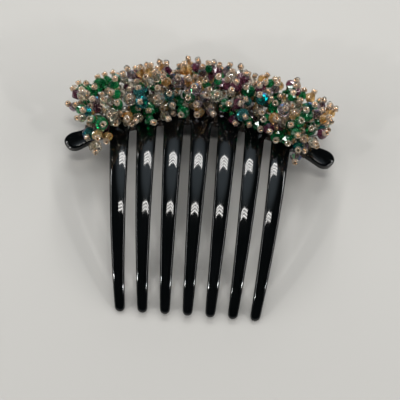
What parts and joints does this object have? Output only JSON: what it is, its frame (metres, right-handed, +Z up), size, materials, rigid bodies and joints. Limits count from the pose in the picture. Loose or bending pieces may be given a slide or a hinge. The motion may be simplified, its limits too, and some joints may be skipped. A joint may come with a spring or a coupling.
{
  "type": "decorative hair comb",
  "caption": "Curved plastic French twist comb with long tapering teeth and a dense fringe of faceted glass crystals and seed beads wired along its arched band.",
  "frame": {"origin": "on the table that the comb lies on, below the middle of its bounding box", "axes": "+X across the comb, along the row of teeth; +Y from the tooth tips towards the spine; +Z up, out of the convex front face"},
  "size_m": [0.1088, 0.1053, 0.0273],
  "materials": {
    "comb_plastic": "glossy black injection moulded plastic with fine handling scratches",
    "craft_wire": "thin craft wire, toned dark bronze, bright",
    "crystal_emerald": "faceted transparent emerald glass",
    "crystal_champagne": "faceted transparent honey and champagne glass",
    "crystal_clear": "faceted clear glass",
    "crystal_amethyst": "faceted transparent plum and amethyst glass",
    "crystal_teal": "faceted transparent teal glass with a thin bluish coating",
    "crystal_smoke": "faceted transparent smoky lilac glass",
    "seed_gold": "clear seed bead with a rose-gold lined hole"
  },
  "bodies": {
    "root": {"comb_body": "comb_plastic", "base_wire_lower": "craft_wire", "base_wire_upper": "craft_wire", "binding_wrap_1": "craft_wire", "binding_wrap_2": "craft_wire", "binding_wrap_3": "craft_wire", "binding_wrap_4": "craft_wire", "binding_wrap_5": "craft_wire", "binding_wrap_6": "craft_wire", "binding_wrap_7": "craft_wire", "binding_wrap_8": "craft_wire", "lower_spray_01": "crystal_champagne", "lower_spray_02": "crystal_champagne", "lower_spray_03": "crystal_champagne", "lower_spray_04": "crystal_clear", "lower_spray_05": "crystal_clear", "lower_spray_06": "crystal_emerald", "lower_spray_07": "crystal_champagne", "lower_spray_08": "crystal_amethyst", "lower_spray_09": "crystal_emerald", "lower_spray_10": "crystal_amethyst", "lower_spray_11": "crystal_emerald", "lower_spray_12": "crystal_teal", "front_spray_01": "crystal_emerald", "front_spray_02": "crystal_amethyst", "front_spray_03": "crystal_emerald", "front_spray_04": "crystal_clear", "front_spray_05": "crystal_champagne", "front_spray_06": "crystal_emerald", "front_spray_07": "crystal_smoke", "front_spray_08": "crystal_amethyst", "front_spray_09": "crystal_teal", "front_spray_10": "crystal_emerald", "front_spray_11": "crystal_emerald", "front_spray_12": "crystal_champagne", "upper_spray_01": "crystal_clear", "upper_spray_02": "crystal_emerald", "upper_spray_03": "crystal_clear", "upper_spray_04": "crystal_champagne", "upper_spray_05": "crystal_emerald", "upper_spray_06": "crystal_champagne", "upper_spray_07": "crystal_emerald", "upper_spray_08": "crystal_clear", "upper_spray_09": "crystal_clear", "upper_spray_10": "crystal_smoke", "upper_spray_11": "crystal_emerald", "upper_spray_12": "crystal_smoke", "top_spray_01": "crystal_emerald", "top_spray_02": "crystal_emerald", "top_spray_03": "crystal_amethyst", "top_spray_04": "crystal_emerald", "top_spray_05": "crystal_champagne", "top_spray_06": "crystal_champagne", "top_spray_07": "crystal_smoke", "top_spray_08": "crystal_clear", "top_spray_09": "crystal_clear", "top_spray_10": "crystal_champagne", "top_spray_11": "crystal_amethyst", "top_spray_12": "crystal_smoke"}
  },
  "joints": []
}
